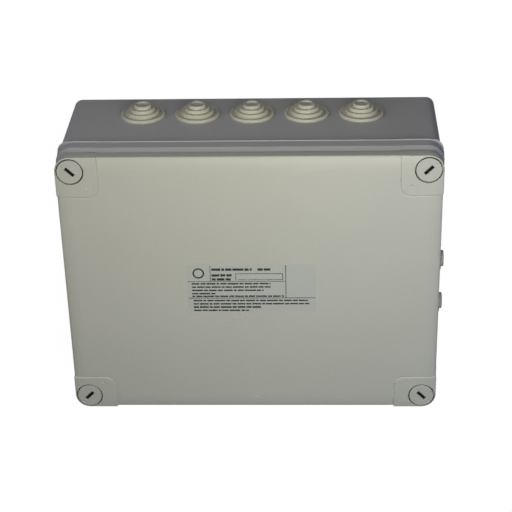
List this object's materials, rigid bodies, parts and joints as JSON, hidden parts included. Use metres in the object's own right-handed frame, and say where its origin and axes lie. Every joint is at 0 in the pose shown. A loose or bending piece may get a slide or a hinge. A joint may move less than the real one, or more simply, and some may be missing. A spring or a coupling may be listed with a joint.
{
  "type": "electrical junction box",
  "caption": "Surface junction box with stepped rubber cable entries, a screwed lid with quarter-turn screws, and a rail of screw terminals inside.",
  "frame": {"origin": "middle of the back face, which goes against the wall", "axes": "+X along the box's length, +Y up its height, +Z out of the lid"},
  "size_m": [0.2302, 0.1802, 0.086],
  "materials": {
    "base_plastic": "fine moulded grain",
    "lid_plastic": "fine moulded grain with a soft sheen",
    "screw_plastic": "smooth moulded",
    "entry_rubber": "soft satin",
    "gasket_rubber": "closed-cell foam",
    "seal_rubber": "smooth",
    "label_film": "printed semi-matt film",
    "rail_steel": "zinc plated",
    "screw_steel": "zinc plated",
    "clamp_brass": "nickel-free machined",
    "terminal_grey": "moulded polyamide",
    "terminal_blue": "moulded polyamide",
    "terminal_green": "moulded polyamide",
    "stop_plastic": "moulded polyamide"
  },
  "bodies": {
    "box": {"base": "base_plastic", "entry_grommet_01": "entry_rubber", "entry_grommet_02": "entry_rubber", "entry_grommet_03": "entry_rubber", "entry_grommet_04": "entry_rubber", "entry_grommet_05": "entry_rubber", "entry_grommet_06": "entry_rubber", "entry_grommet_07": "entry_rubber", "entry_grommet_08": "entry_rubber", "entry_grommet_09": "entry_rubber", "entry_grommet_10": "entry_rubber", "entry_grommet_11": "entry_rubber", "entry_grommet_12": "entry_rubber", "entry_grommet_13": "entry_rubber", "entry_grommet_14": "entry_rubber", "din_rail": "rail_steel", "rail_screws": "screw_steel", "terminal_block_01": "terminal_grey", "terminal_block_02": "terminal_grey", "terminal_block_03": "terminal_grey", "terminal_block_04": "terminal_grey", "terminal_block_05": "terminal_grey", "terminal_block_06": "terminal_grey", "terminal_block_07": "terminal_grey", "terminal_block_08": "terminal_grey", "terminal_block_09": "terminal_blue", "terminal_block_10": "terminal_green", "clamp_cages": "clamp_brass", "clamp_screws": "screw_steel", "end_plate": "terminal_grey", "end_stop_left": "stop_plastic", "end_stop_right": "stop_plastic", "stop_screws": "screw_steel"},
    "lid": {"lid": "lid_plastic", "lid_gasket": "gasket_rubber", "screw_seals": "seal_rubber", "label": "label_film"},
    "screw_1": {"lid_screw_1": "screw_plastic"},
    "screw_2": {"lid_screw_2": "screw_plastic"},
    "screw_3": {"lid_screw_3": "screw_plastic"},
    "screw_4": {"lid_screw_4": "screw_plastic"}
  },
  "joints": [
    {"name": "lid_lift", "type": "slide", "parent": "box", "child": "lid", "axis": [0, 0, 1], "range_m": [0, 0.08]},
    {"name": "lid_screw_1_turn", "type": "hinge", "parent": "lid", "child": "screw_1", "pos_m": [0.1, 0.075, 0.086], "axis": [0, 0, 1], "range_deg": [0, 90]},
    {"name": "lid_screw_2_turn", "type": "hinge", "parent": "lid", "child": "screw_2", "pos_m": [0.1, -0.075, 0.086], "axis": [0, 0, 1], "range_deg": [0, 90]},
    {"name": "lid_screw_3_turn", "type": "hinge", "parent": "lid", "child": "screw_3", "pos_m": [-0.1, 0.075, 0.086], "axis": [0, 0, 1], "range_deg": [0, 90]},
    {"name": "lid_screw_4_turn", "type": "hinge", "parent": "lid", "child": "screw_4", "pos_m": [-0.1, -0.075, 0.086], "axis": [0, 0, 1], "range_deg": [0, 90]}
  ]
}
